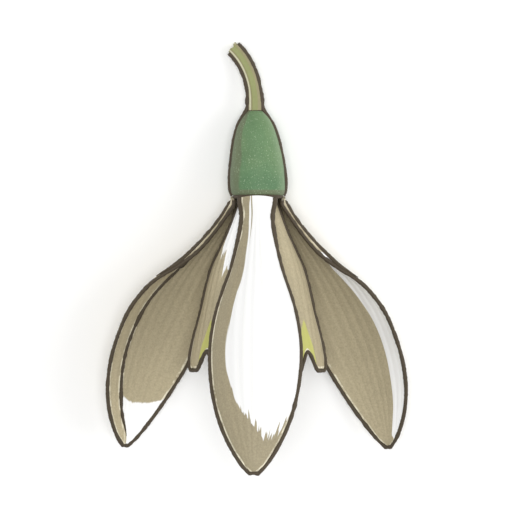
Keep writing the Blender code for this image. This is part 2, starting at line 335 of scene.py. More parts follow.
def tepal_point(tepal, form, line, across, along):
    """The point of a tepal's middle surface.  Below 0 the claw runs straight on, up into the ovary."""
    place = max(0.0, along) * (len(line) - 1)
    i = min(int(place), len(line) - 2)
    (p0, lean0), (p1, lean1) = line[i], line[i + 1]
    t = place - i
    point, lean = p0.lerp(p1, t), lean0 + (lean1 - lean0) * t
    point = point - Vector((0, 0, min(0.0, along) * form["length"]))
    azimuth = math.radians(tepal["azimuth"])
    out = outward(azimuth)
    down = (out * math.sin(lean) + Vector((0, 0, -math.cos(lean)))).normalized()
    back = (out * math.cos(lean) + Vector((0, 0, math.sin(lean)))).normalized()
    turn = Matrix.Rotation(math.radians(tepal["turn"]) * ease(along / TURN_SHARE), 3, -down)
    side = turn @ outward(azimuth + math.pi / 2)
    back = turn @ back
    half_width = half_width_at(tepal, form, along)
    claw_arc = half_width / form["claw_radius"]
    flattened = 1 - FLATTENING * ease((along - TURN_SHARE) / (1 - TURN_SHARE))
    blade_arc = math.radians(tepal["cup"]) * flattened
    arc = claw_arc + (blade_arc - claw_arc) * ease(along / CLAW_SHARE)
    radius = half_width / arc
    bend = arc * across
    return point + side * radius * math.sin(bend) - back * radius * (1 - math.cos(bend))


def notched_end(across):
    """How far an inner tepal reaches at that share across: two round lobes with a notch between them."""
    notch = NOTCH_DEPTH * (1 - ease(abs(across) / NOTCH_REACH))
    past = max(0.0, (abs(across) - CORNER_START) / (1 - CORNER_START))
    return 1 - notch - CORNER_ROUND * past**CORNER_POWER


def surface(tepal, form, notched):
    """A function that gives a tepal's point and outward normal at shares across and along."""
    line = midrib(tepal, form)

    def plain(across, along):
        reach = notched_end(across) if notched and along > 0 else 1
        return tepal_point(tepal, form, line, across, along * reach)

    def place(across, along):
        step = 0.004
        right = plain(min(1, across + step), along) - plain(max(-1, across - step), along)
        down = plain(across, min(1, along + step)) - plain(across, max(0, along - step))
        return plain(across, along), down.cross(right).normalized()

    return place


def furrow(across, along, form):
    """How far the sheet sinks between its veins: 0 on a vein, at the claw, at the end and at the margins."""
    wave = 0.5 - 0.5 * math.cos(2 * math.pi * form["furrows"] * across)
    fade = ease((along - 0.02) / 0.2) * ease((1 - along) / 0.15) * (1 - across**4)
    return form["furrow_depth"] * wave * fade


# ---------------- pieces


def plain_mesh(made):
    """The mesh of an object with its modifiers applied; the object itself is removed."""
    graph = bpy.context.evaluated_depsgraph_get()
    mesh = bpy.data.meshes.new_from_object(made.evaluated_get(graph), depsgraph=graph)
    bpy.data.objects.remove(made)
    return mesh


def link(name, mesh):
    made = bpy.data.objects.new(name, mesh)
    bpy.context.scene.collection.objects.link(made)
    return made


def piece(name, mesh, slot, *nodes):
    """A finished piece, moved from the flower's frame to the shared one, that stands for those CAD nodes."""
    mesh.name = name
    mesh.transform(FLOWER)
    made = link(name, mesh)
    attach(made, "root")
    if nodes:
        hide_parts(*nodes)
    return made


def smooth(mesh):
    mesh.shade_smooth()
    mesh.set_sharp_from_angle(angle=SHARP_ANGLE)


def modifier_inputs(modifier, values):
    """Sets a Geometry Nodes modifier's inputs by the names of the tree's sockets."""
    for item in modifier.node_group.interface.items_tree:
        if item.item_type == "SOCKET" and item.in_out == "INPUT" and item.name in values:
            modifier[item.identifier] = values[item.name]


def new_tree(name, kind, inputs, outputs):
    """A node tree and its two end nodes; inputs are (name, socket kind, default) and outputs (name, kind)."""
    tree = bpy.data.node_groups.new(name, kind)
    for label, socket, default in inputs:
        made = tree.interface.new_socket(label, in_out="INPUT", socket_type=socket)
        if default is not None:
            made.default_value = default
    for label, socket in outputs:
        tree.interface.new_socket(label, in_out="OUTPUT", socket_type=socket)
    return tree, tree.nodes.new("NodeGroupInput"), tree.nodes.new("NodeGroupOutput")


def rib_tree():
    """Round ribs along the guide's edges, as thick as its corners' attribute "weight" says."""
    tree, given, out = new_tree(
        "ribs", "GeometryNodeTree",
        [
            ("Geometry", "NodeSocketGeometry", None),
            ("Radius", "NodeSocketFloat", TEPAL_RIB),
            ("Sides", "NodeSocketInt", RIB_SIDES),
            ("Material", "NodeSocketMaterial", None),
        ],
        [("Geometry", "NodeSocketGeometry")],
    )
    tree.is_modifier = True
    curve = tree.nodes.new("GeometryNodeMeshToCurve")
    weight = tree.nodes.new("GeometryNodeInputNamedAttribute")
    weight.inputs["Name"].default_value = "weight"
    scale = tree.nodes.new("ShaderNodeMath")
    scale.operation = "MULTIPLY"
    profile = tree.nodes.new("GeometryNodeCurvePrimitiveCircle")
    profile.inputs["Radius"].default_value = 1
    sweep = tree.nodes.new("GeometryNodeCurveToMesh")
    sweep.inputs["Fill Caps"].default_value = True
    shade = tree.nodes.new("GeometryNodeSetShadeSmooth")
    realize = tree.nodes.new("GeometryNodeRealizeInstances")
    paint = tree.nodes.new("GeometryNodeSetMaterial")
    for start, leaving, end, arriving in (
        (given, "Geometry", curve, "Mesh"),
        (weight, "Attribute", scale, 0),
        (given, "Radius", scale, 1),
        (given, "Sides", profile, "Resolution"),
        (curve, "Curve", sweep, "Curve"),
        (profile, "Curve", sweep, "Profile Curve"),
        (scale, "Value", sweep, "Scale"),
        (sweep, "Mesh", shade, "Geometry"),
        (shade, "Geometry", realize, "Geometry"),
        (realize, "Geometry", paint, "Geometry"),
        (given, "Material", paint, "Material"),
        (paint, "Geometry", out, "Geometry"),
    ):
        tree.links.new(start.outputs[leaving], end.inputs[arriving])
    return tree


def ribs(name, lines, radius, finish, slot):
    """Ribs that follow the lines; a line is its points, a weight for each and whether it closes."""
    points, edges, weights = [], [], []
    for line, line_weights, closed in lines:
        first = len(points)
        points += line
        weights += line_weights
        edges += [(first + i, first + i + 1) for i in range(len(line) - 1)]
        if closed:
            edges.append((first + len(line) - 1, first))
    mesh = bpy.data.meshes.new(name)
    mesh.from_pydata(points, edges, [])
    mesh.attributes.new("weight", "FLOAT", "POINT").data.foreach_set("value", weights)
    guide = link(name + "_guide", mesh)
    modifier = guide.modifiers.new("ribs", "NODES")
    modifier.node_group = RIBS
    modifier_inputs(modifier, {"Radius": radius, "Sides": RIB_SIDES, "Material": finish})
    return piece(name, plain_mesh(guide), slot)


def rough(point, share):
    """1, give or take a share, from a fixed noise: how thick a hand-drawn line is there."""
    return 1 + share * noise.noise(point * 1500) + share * noise.noise(point * 4200)


def raised(spots, lift, thickness, roughness):
    """Points lifted off a sheet, from its (point, normal) spots, and an uneven thickness at each."""
    points = [point + normal * lift for point, normal in spots]
    return points, [share * rough(point, roughness) for share, (point, _) in zip(thickness, spots)]


def margin_line(tepal, form, notched, lift, thicker):
    """The line round a tepal's margin, from one side of its claw to the other, thicker there by a share."""
    place = surface(tepal, form, notched)
    count, end_count = form["cells"][1], 60
    sides = [i / count for i in range(count)]
    ends = [-1 + 2 * i / end_count for i in range(end_count + 1)]
    route = [(-1, t) for t in sides] + [(s, 1) for s in ends] + [(1, t) for t in reversed(sides)]
    thickness = [1 + thicker * (1 - ease(along / CLAW_SHARE)) for _, along in route]
    points, weights = raised([place(*spot) for spot in route], lift, thickness, MARGIN_ROUGHNESS)
    root = Vector((0, 0, CLAW_ROOTING))
    points = [points[0] + root, *points, points[-1] + root]
    return points, [weights[0], *weights, weights[-1]], False


def drawn_line(tepal, form, route, lift):
    """A line on a tepal's face by a smooth route of (share along, share across), pointed at both ends."""
    place = surface(tepal, form, False)
    first, last = route[0][0], route[-1][0]
    count = 110
    spots, thickness = [], []
    for i in range(count + 1):
        t = i / count
        along = first + (last - first) * t
        spots.append(place(smooth_curve(route, along), along))
        thickness.append(0.15 + 0.85 * ease(t / 0.06) * ease((1 - t) / 0.1))
    return *raised(spots, lift, thickness, FOLD_ROUGHNESS), False


def rim_line(tepal, form, until):
    """The line down a tepal's furthest reach to its own side, where it curls round, to the margin.

    It starts inside the ovary and gets thinner over its last part.
    """
    place = surface(tepal, form, False)
    sign = 1 if tepal["azimuth"] > 0 else -1
    spots, thickness = [], []
    count, half = 60, 40
    for i in range(count + 1):
        row = [place(k / half, until * i / count) for k in range(-half, half + 1)]
        spots.append(max(row, key=lambda spot: spot[0].x * sign))
        thickness.append(1.15 - 0.9 * ease((i / count - 0.7) / 0.3))
    points, weights = raised(spots, RIM_LIFT, thickness, MARGIN_ROUGHNESS)
    points = relaxed(points)
    inwards = 0.82
    root = Vector((inwards * points[0].x, inwards * points[0].y, points[0].z + CLAW_ROOTING))
    return [root, *points], [0.7, *weights], False


def ovary_point(azimuth, height):
    """A point of the ovary's skin at an azimuth and a height above its base."""
    radius = smooth_curve(OVARY_PROFILE, height / MM) * MM
    radius *= 1 - OVARY_LOBE_DEPTH * (1 + math.cos(OVARY_LOBES * azimuth)) / 2
    shift = OVARY_LEAN * (max(0.0, height) / OVARY_HEIGHT) ** OVARY_LEAN_POWER
    return outward(azimuth) * radius + Vector((-shift, 0, height))


def loft_mesh(name, rings, finish):
    """A closed mesh through rings of equally many points, with fans at its ends.

    Its UV map holds the share of a turn round it and the share along it.
    """
    shape = bmesh.new()
    loops = [[shape.verts.new(p) for p in ring] for ring in rings]
    sides = len(loops[0])
    uv = shape.loops.layers.uv.new("shares")
    shares = [i / (len(rings) - 1) for i in range(len(rings))]

    def face(verts, places):
        made = shape.faces.new(verts)
        for loop, spot in zip(made.loops, places):
            loop[uv].uv = spot

    for (lower, low), (upper, high) in zip(zip(loops, shares), zip(loops[1:], shares[1:])):
        for i in range(sides):
            j = (i + 1) % sides
            a, b = i / sides, (i + 1) / sides
            places = ((a, low), (b, low), (b, high), (a, high))
            face((lower[i], lower[j], upper[j], upper[i]), places)
    for loop, share in ((loops[0], shares[0]), (loops[-1], shares[-1])):
        centre = shape.verts.new(middle([v.co for v in loop]))
        for i in range(sides):
            j = (i + 1) % sides
            a, b = i / sides, (i + 1) / sides
            face((loop[i], loop[j], centre), ((a, share), (b, share), ((a + b) / 2, share)))
    bmesh.ops.recalc_face_normals(shape, faces=shape.faces)
    mesh = bpy.data.meshes.new(name)
    shape.to_mesh(mesh)
    shape.free()
    mesh.materials.append(finish)
    smooth(mesh)
    return mesh


def ovary(finish):
    """The green seed capsule, with faint bumps, standing round on its flat base."""
    sides, count = 96, 70
    rings = []
    for i in range(count + 1):
        height = OVARY_HEIGHT * (i / count)
        ring = []
        for azimuth in turns(sides):
            point = ovary_point(azimuth, height)
            lift = sum(size * noise.noise(point * fineness) for size, fineness in OVARY_BUMPS)
            ring.append(point + outward(azimuth) * lift)
        rings.append(ring)
    return piece("ovary_skin", loft_mesh("ovary_skin", rings, finish), "ovary", "ovary")


def stalk_spine():
    """The stalk's middle line: its points, with the direction along it, its side and its radius at each."""
    spine = []
    centre = Vector((-OVARY_LEAN, 0, OVARY_HEIGHT + GAP))
    for i in range(STALK_STEPS + 1):
        t = i / STALK_STEPS
        angle = STALK_BEND * t**STALK_BEND_POWER
        along = Vector((-math.sin(angle), 0, math.cos(angle)))
        side = Vector((math.cos(angle), 0, math.sin(angle)))
        radius = STALK_RADIUS * (1 + STALK_FOOT_SPREAD * (1 - ease(t / STALK_FOOT_SHARE)))
        spine.append((centre, along, side, radius))
        centre = centre + along * STALK_LENGTH / STALK_STEPS
    return spine


def stalk(finish, pith):
    """The short cut length of stalk, ribbed along its length, with a ragged slanting cut."""
    sides = 48
    spine = stalk_spine()
    rooted = (spine[0][0] - Vector((0, 0, ROOTING)), *spine[0][1:])
    rings = []
    for i, (centre, along, side, radius) in enumerate([rooted] + spine):
        ring = []
        cut = ease((i - len(spine) + STALK_CUT_RINGS) / STALK_CUT_RINGS)
        for a in turns(sides):
            rib = 1 - STALK_RIB_DEPTH * (0.5 + 0.5 * math.cos(STALK_RIBS * a))
            spoke = side * math.cos(a) + Vector((0, 1, 0)) * math.sin(a)
            torn = STALK_TEAR * noise.noise(Vector((math.cos(a) * 1.9, math.sin(a) * 1.9, 0.7)))
            slip = along * cut * (math.tan(STALK_CUT) * radius * math.cos(a) + torn)
            ring.append(centre + spoke * radius * rib + slip)
        rings.append(ring)
    last, end, along = rings[-1], middle(rings[-1]), spine[-1][1]
    for share, sink in ((0.86, 0.02), (0.6, -0.05), (0.3, -0.09)):
        rings.append([end + (p - end) * share + along * sink * MM for p in last])
    mesh = loft_mesh("pedicel_skin", rings, finish)
    mesh.materials.append(pith)
    first_pith = len(spine) * sides
    for face in mesh.polygons:
        if face.index >= first_pith and (face.center - end).length < PITH_RADIUS:
            face.material_index = 1
    return piece("pedicel_skin", mesh, "stalk", "pedicel")


def stamen(number, thread, pollen_sac):
    """A filament and its anther, which is two long lobes side by side with a groove between them."""
    azimuth = 2 * math.pi * (number - 0.5) / STAMEN_COUNT
    out, side = outward(azimuth), outward(azimuth + math.pi / 2)
    total = FILAMENT_LENGTH + ANTHER_LENGTH
    # Distances from the flower's axis, by the share of the filament and of the whole stamen.
    thread_circle = [(0, STAMEN_CIRCLE), (0.5, STAMEN_CIRCLE + 0.05 * MM), (1, ANTHER_CIRCLE)]
    circle = [
        (0.0, STAMEN_CIRCLE), (0.3, STAMEN_CIRCLE + 0.05 * MM), (0.45, ANTHER_CIRCLE),
        (0.7, ANTHER_CIRCLE - 0.02 * MM), (0.9, ANTHER_TIP_CIRCLE + 0.14 * MM), (1.0, ANTHER_TIP_CIRCLE),
    ]
    width = [(0.0, 0.5), (0.1, 0.95), (0.3, 1.0), (0.55, 0.84), (0.8, 0.52), (0.95, 0.22), (1.0, 0.06)]
    thread_rings = []
    count = 12
    for i in range(count + 1):
        t = i / count
        down = (FILAMENT_LENGTH + 0.3 * MM) * t
        centre = out * smooth_curve(thread_circle, t)
        centre += Vector((0, 0, (GAP + ROOTING) * (1 - t) - GAP - down))
        radius = FILAMENT_RADIUS * (1.1 - 0.25 * t)
        spokes = [side * math.cos(a) + out * math.sin(a) for a in turns(16)]
        thread_rings.append([centre + spoke * radius for spoke in spokes])
    anther_rings = []
    count = 48
    for i in range(count + 1):
        t = i / count
        down = FILAMENT_LENGTH + ANTHER_LENGTH * t
        centre = out * smooth_curve(circle, down / total) + Vector((0, 0, -GAP - down))
        share = smooth_curve(width, t)
        ring = []
        for a in turns(28):
            groove = 1 - ANTHER_GROOVE_DEPTH * math.exp(-((math.cos(a) / ANTHER_GROOVE_WIDTH) ** 2))
            grain = 1 + ANTHER_GRAIN * noise.noise(centre * 2500 + Vector((math.cos(a), math.sin(a), 0)) * 2)
            spoke = side * math.cos(a) * ANTHER_HALF_WIDTH + out * math.sin(a) * ANTHER_HALF_DEPTH * groove
            ring.append(centre + spoke * share * grain)
        anther_rings.append(ring)
    name = f"stamen_{number}"
    anther = loft_mesh(name, anther_rings, pollen_sac)
    filament = loft_mesh(name, thread_rings, thread)
    joined = bmesh.new()
    joined.from_mesh(anther)
    first = len(joined.faces)
    joined.from_mesh(filament)
    joined.faces.ensure_lookup_table()
    for face in joined.faces[first:]:
        face.material_index = 1
    joined.to_mesh(anther)
    joined.free()
    bpy.data.meshes.remove(filament)
    anther.materials.append(thread)
    return piece(name + "_grown", anther, "stamen", name)


def style(finish):
    """The thread in the middle of the flower, thicker towards its blunt, flat-ended tip."""
    profile = [(0.0, 0.8), (0.3, 0.75), (0.6, 0.9), (0.85, 1.1), (0.95, 1.0), (1.0, 0.55)]
    count = 60
    rings = []
    for i in range(count + 1):
        t = i / count
        radius = STYLE_RADIUS * smooth_curve(profile, t)
        down = GAP - (GAP + ROOTING) * (1 - t) + STYLE_LENGTH * t
        rings.append([Vector((math.cos(a) * radius, math.sin(a) * radius, -down)) for a in turns(24)])
    return piece("style_grown", loft_mesh("style_grown", rings, finish), "style", "style")


# ---------------- materials


def feed(tree, target, value):
    """Sets an input: a number or a colour is its value, and a socket is linked to it."""
    if isinstance(value, (int, float)):
        target.default_value = value
    elif isinstance(value, tuple):
        target.default_value = (*value, 1)
    else:
        tree.links.new(value, target)


def fill(tree, made, **values):
    """Sets a node's inputs by name, with underscores for spaces, and returns the node."""
    for label, value in values.items():
        feed(tree, made.inputs[label.replace("_", " ")], value)
    return made


def new_material(name, **values):
    """A material with its Principled shader; values are the shader's inputs that are the same all over."""
    made = bpy.data.materials.new(name)
    made.use_nodes = True
    return made, made.node_tree, fill(made.node_tree, made.node_tree.nodes["Principled BSDF"], **values)


def maths(tree, operation, *values):
    """A Math node's result; the values are numbers or sockets."""
    made = tree.nodes.new("ShaderNodeMath")
    made.operation = operation
    for i, value in enumerate(values):
        feed(tree, made.inputs[i], value)
    return made.outputs["Value"]


def steps(tree, value, low, high):
    """0 below low, 1 above high, and smooth between."""
    made = fill(tree, tree.nodes.new("ShaderNodeMapRange"), Value=value, From_Min=low, From_Max=high)
    made.interpolation_type = "SMOOTHSTEP"
    return made.outputs["Result"]


def blend(tree, factor, a, b):
    """Colour a where the factor is 0 and b where it is 1; each is a colour or a socket."""
    made = tree.nodes.new("ShaderNodeMix")
    made.data_type = "RGBA"
    for place, given in ((0, factor), (6, a), (7, b)):
        feed(tree, made.inputs[place], given)
    return made.outputs[2]


def noise_at(tree, vector, scale, detail, roughness=0.5):
    made = tree.nodes.new("ShaderNodeTexNoise")
    fill(tree, made, Vector=vector, Scale=scale, Detail=detail, Roughness=roughness)
    return made.outputs["Fac"]


def stretched_noise(tree, shares, across, along, detail, roughness=0.5):
    """Noise on a UV map, with its own scales across and along."""
    made = fill(tree, tree.nodes.new("ShaderNodeMapping"), Vector=shares)
    made.inputs["Scale"].default_value = (across, along, 1)
    return noise_at(tree, made.outputs["Vector"], 1.0, detail, roughness)


def graph(tree, value, points):
    """A smooth curve through the points, as a Float Curve node; both axes run from 0 to 1."""
    made = tree.nodes.new("ShaderNodeFloatCurve")
    curve = made.mapping.curves[0]
    curve.points[0].location = points[0]
    curve.points[1].location = points[-1]
    for spot in points[1:-1]:
        curve.points.new(*spot)
    made.mapping.update()
    tree.links.new(value, made.inputs["Value"])
    return made.outputs["Value"]


def inverse(tree, value):
    return maths(tree, "SUBTRACT", 1.0, value)


def distance(tree, value, other):
    """How far two values are apart."""
    return maths(tree, "ABSOLUTE", maths(tree, "SUBTRACT", value, other))


def product(tree, a, b):
    return maths(tree, "MULTIPLY", a, b)


def between(tree, value, low, high, softness):
    """1 from low to high and 0 outside."""
    above = steps(tree, value, low - softness, low + softness)
    return product(tree, above, inverse(tree, steps(tree, value, high - softness, high + softness)))


def attribute(tree, name):
    made = tree.nodes.new("ShaderNodeAttribute")
    made.attribute_name = name
    return made.outputs["Fac"]


def object_place(tree):
    return tree.nodes.new("ShaderNodeTexCoord").outputs["Object"]


def bump(tree, shader, height, strength, depth):
    """Gives the shader a bumpy normal from a height."""
    made = tree.nodes.new("ShaderNodeBump")
    fill(tree, made, Strength=strength, Distance=depth, Height=height)
    tree.links.new(made.outputs["Normal"], shader.inputs["Normal"])


def shares_of(tree):
    """The UV map, and its two numbers: the share across or around, 0 to 1, and the share along."""
    uv = tree.nodes.new("ShaderNodeUVMap")
    uv.uv_map = "shares"
    split = tree.nodes.new("ShaderNodeSeparateXYZ")
    tree.links.new(uv.outputs["UV"], split.inputs[0])
    return uv.outputs["UV"], split.outputs["X"], split.outputs["Y"]


def place_group(tree, group, **values):
    """An instance of a node group with its inputs set."""
    made = tree.nodes.new("ShaderNodeGroup")
    made.node_tree = group
    return fill(tree, made, **values)


def grain_group():
    """Plant tissue: soft mottling, fine grain and pale flecks over a colour, with a height for bumps."""
    tree, given, out = new_tree(
        "tissue_grain", "ShaderNodeTree",
        [
            ("Color", "NodeSocketColor", (1, 1, 1, 1)),
            ("Mottle", "NodeSocketFloat", 0.2),
            ("Grain", "NodeSocketFloat", 0.1),
            ("Flecks", "NodeSocketFloat", 0.0),
            ("Fleck Color", "NodeSocketColor", (1, 1, 1, 1)),
        ],
        [("Color", "NodeSocketColor"), ("Height", "NodeSocketFloat")],
    )
    place = object_place(tree)
    mottle = maths(tree, "SUBTRACT", noise_at(tree, place, 420, 3), 0.5)
    grain = maths(tree, "SUBTRACT", noise_at(tree, place, 6000, 4, 0.65), 0.5)
    light = maths(tree, "MULTIPLY_ADD", mottle, given.outputs["Mottle"], 1.0)
    light = maths(tree, "MULTIPLY_ADD", grain, given.outputs["Grain"], light)
    tint = tree.nodes.new("ShaderNodeVectorMath")
    tint.operation = "SCALE"
    fill(tree, tint, Vector=given.outputs["Color"], Scale=light)
    fleck = steps(tree, noise_at(tree, place, 7600, 2, 0.5), 0.61, 0.69)
    fleck = product(tree, fleck, given.outputs["Flecks"])
    colour = blend(tree, fleck, tint.outputs["Vector"], given.outputs["Fleck Color"])
    height = maths(tree, "MULTIPLY_ADD", grain, 0.6, mottle)
    tree.links.new(colour, out.inputs["Color"])
    tree.links.new(height, out.inputs["Height"])
    return tree


def vein_group():
    """What runs along a tepal, from its shares: a mask of fine veins, fine streaks and broad strokes."""
    tree, given, out = new_tree(
        "tepal_veins", "ShaderNodeTree",
        [("Shares", "NodeSocketVector", None), ("Count", "NodeSocketFloat", 20.0)],
        [("Lines", "NodeSocketFloat"), ("Streaks", "NodeSocketFloat"), ("Strokes", "NodeSocketFloat")],
    )
    shares = given.outputs["Shares"]
    split = tree.nodes.new("ShaderNodeSeparateXYZ")
    tree.links.new(shares, split.inputs[0])
    along = split.outputs["Y"]
    wobble = stretched_noise(tree, shares, 3, 5, 2)
    across = maths(tree, "MULTIPLY_ADD", wobble, 0.02, split.outputs["X"])
    phase = product(tree, product(tree, across, given.outputs["Count"]), math.pi)
    wave = maths(tree, "ABSOLUTE", maths(tree, "SINE", phase))
    line = inverse(tree, steps(tree, wave, 0.0, 0.35))
    fade = product(tree, steps(tree, along, 0.0, 0.1), inverse(tree, steps(tree, along, 0.8, 1.0)))
    patchy = stretched_noise(tree, shares, 14, 4, 3)
    lines = product(tree, product(tree, line, fade), steps(tree, patchy, 0.35, 0.65))
    streaks = stretched_noise(tree, shares, 46, 2.2, 3, 0.6)
    strokes = stretched_noise(tree, shares, 24, 1.4, 2)
    for label, value in (("Lines", lines), ("Streaks", streaks), ("Strokes", strokes)):
        tree.links.new(value, out.inputs[label])
    return tree


def grained(tree, shader, colour, **values):
    """Lays the tissue's grain over the shader's colour, and returns its height."""
    grain = place_group(tree, GRAIN, Color=colour, **values)
    tree.links.new(grain.outputs["Color"], shader.inputs["Base Color"])
    return grain.outputs["Height"]


def tepal_finish(name, shade_khaki, white, painted_light_mask, mark=None, folded=False):
    """A tepal's finish: khaki painted shade over the white tissue, with grain, and a cream painted highlight
    line inside the margin, then the lit white and a mark.

    The mask of the lit white is a function of (tree, share across, share along, strokes), and mark is one of
    (tree, share across, share along, streaks).  Each returns a socket from 0 to 1.
    """
    made, tree, shader = new_material(name, Specular_IOR_Level=0.3)
    shares, across, along = shares_of(tree)
    veins = place_group(tree, VEINS, Shares=shares, Count=20)
    lines, streaks, strokes = (veins.outputs[label] for label in ("Lines", "Streaks", "Strokes"))

    def tone(level):
        return tuple(level * c for c in shade_khaki)

    body = blend(tree, steps(tree, streaks, 0.25, 0.75), tone(0.97), tone(1.03))
    body = blend(tree, product(tree, lines, 0.3), body, tone(0.88))
    # A cream line inside the margin and beside the fold: a painted highlight.
    highlight_lines = between(tree, attribute(tree, "margin"), 0.19, 0.36, 0.04)
    if folded:
        past = attribute(tree, "fold")
        # Past the fold the khaki is lighter: a lighter painted shade on the curled strip.
        body = blend(tree, steps(tree, past, -0.05, 0.05), body, tone(1.12))
        beside_fold = between(tree, maths(tree, "ABSOLUTE", past), 0.14, 0.29, 0.03)
        highlight_lines = maths(tree, "MAXIMUM", highlight_lines, beside_fold)
    broken = steps(tree, stretched_noise(tree, shares, 9, 16, 4, 0.7), 0.4, 0.55)
    body = blend(tree, product(tree, product(tree, highlight_lines, broken), 0.9), body, CREAM)
    grain = place_group(tree, GRAIN, Color=body, Mottle=0.12, Grain=0.75, Flecks=0.0)
    colour = grain.outputs["Color"]
    # The lit white and the painted highlights, where the painted shade is left out.
    if painted_light_mask:
        bright = blend(tree, product(tree, lines, 0.1), white, CREAM)
        colour = blend(tree, painted_light_mask(tree, across, along, strokes), colour, bright)
    if mark:
        colour = blend(tree, mark(tree, across, along, streaks), colour, MARK_GREEN)
    tree.links.new(colour, shader.inputs["Base Color"])
    height = maths(tree, "MULTIPLY_ADD", streaks, 0.8, grain.outputs["Height"])
    bump(tree, shader, maths(tree, "MULTIPLY_ADD", lines, 0.8, height), 0.3, 0.03 * MM)
    gloss = maths(tree, "MULTIPLY_ADD", grain.outputs["Height"], 0.25, 0.55)
    tree.links.new(gloss, shader.inputs["Roughness"])
    return made


def pushed(tree, value, strokes, raggedness):
    """The value pushed to and fro by the strokes."""
    return maths(tree, "MULTIPLY_ADD", maths(tree, "SUBTRACT", strokes, 0.5), raggedness, value)


def brushed(tree, value, edge, strokes, softness, raggedness):
    """1 where the value is past the edge, with the value pushed by the strokes."""
    gap = maths(tree, "SUBTRACT", pushed(tree, value, strokes, raggedness), edge)
    return steps(tree, gap, -softness, softness)


def lit_white_of_middle(tree, across, along, strokes):
    """White down the middle, where the tepal is left lit: from a strip of khaki painted shade at the left
    margin to the right margin, and down to a brushed end, past which the tip is painted shade.
    """
    left = graph(tree, along, [
        (0, 0.32), (0.06, 0.27), (0.12, 0.3), (0.2, 0.31), (0.3, 0.315), (0.4, 0.265), (0.51, 0.23),
        (0.635, 0.225), (0.703, 0.258), (0.767, 0.31), (0.8, 0.38), (0.9, 0.7), (1, 1),
    ])
    low = graph(tree, across, [
        (0, 0.5), (0.255, 0.703), (0.31, 0.767), (0.45, 0.825), (0.625, 0.868), (0.775, 0.866),
        (0.89, 0.838), (0.945, 0.808), (1, 0.79),
    ])
    side = brushed(tree, across, left, strokes, 0.006, 0.05)
    end = inverse(tree, brushed(tree, along, low, strokes, 0.006, 0.2))
    # One thin streak of khaki painted shade near the claw, beside the strip.
    width = graph(tree, along, [(0, 0.012), (0.1, 0.016), (0.17, 0.0), (1, 0.0)])
    past = maths(tree, "SUBTRACT", distance(tree, across, 0.36), width)
    return product(tree, product(tree, side, end), steps(tree, past, 0.0, 0.006))


def lit_white_of_left(tree, across, along, strokes):
    """The lit white beyond a rounded end of the khaki painted shade, as far across as the fold."""
    low = graph(tree, across, [
        (0, 0.79), (0.015, 0.806), (0.12, 0.828), (0.32, 0.84), (0.59, 0.835), (0.72, 0.807), (1, 0.7),
    ])
    tip = brushed(tree, along, low, strokes, 0.004, 0.012)
    return product(tree, tip, inverse(tree, steps(tree, attribute(tree, "fold"), -0.05, 0.05)))


def highlight_of_right(tree, across, along, strokes):
    """A painted highlight: a white crescent along the outer margin, pointed at both ends."""
    edge = graph(tree, along, [
        (0, 0), (0.195, 0.0), (0.24, 0.22), (0.303, 0.4), (0.368, 0.36), (0.482, 0.315), (0.588, 0.28),
        (0.78, 0.28), (0.86, 0.275), (0.919, 0.29), (0.955, 0.27), (0.985, 0.0), (1, 0),
    ])
    return inverse(tree, brushed(tree, across, edge, strokes, 0.005, 0.012))


def highlight_of_inner(tree, across, along, strokes):
    """A painted highlight: a white sliver on the half that is next to the middle outer tepal, brushed out
    towards the end.
    """
    centre = graph(tree, along, [
        (0, 0.6), (0.19, 0.6), (0.3, 0.63), (0.36, 0.61), (0.45, 0.56), (1, 0.5),
    ])
    width = graph(tree, pushed(tree, along, strokes, 0.35), [
        (0, 0.2), (0.05, 0.3), (0.19, 0.3), (0.3, 0.24), (0.37, 0.13), (0.47, 0.0), (1, 0.0),
    ])
    past = maths(tree, "SUBTRACT", distance(tree, across, centre), width)
    return inverse(tree, steps(tree, past, -0.015, 0.01))


def mark_of_inner(tree, across, along, streaks):
    """The yellow-green mark: an upside-down V that follows the notch, a little inside the margin."""
    top = graph(tree, distance(tree, across, 0.5), [
        (0, 0.8), (0.04, 0.825), (0.1, 0.87), (0.15, 0.92), (0.19, 0.99), (0.5, 1.0),
    ])
    above = brushed(tree, along, top, streaks, 0.012, 0.04)
    inside = steps(tree, attribute(tree, "margin"), 0.3, 0.4)
    return product(tree, product(tree, above, inside), 0.92)


def stripes_inside(tree, across, along, streaks):
    """Faint green stripes on an inner tepal's inside."""
    wave = maths(tree, "SINE", product(tree, across, 14 * math.pi))
    body = between(tree, along, 0.45, 0.92, 0.08)
    return product(tree, product(tree, steps(tree, wave, 0.1, 0.8), body), 0.4)


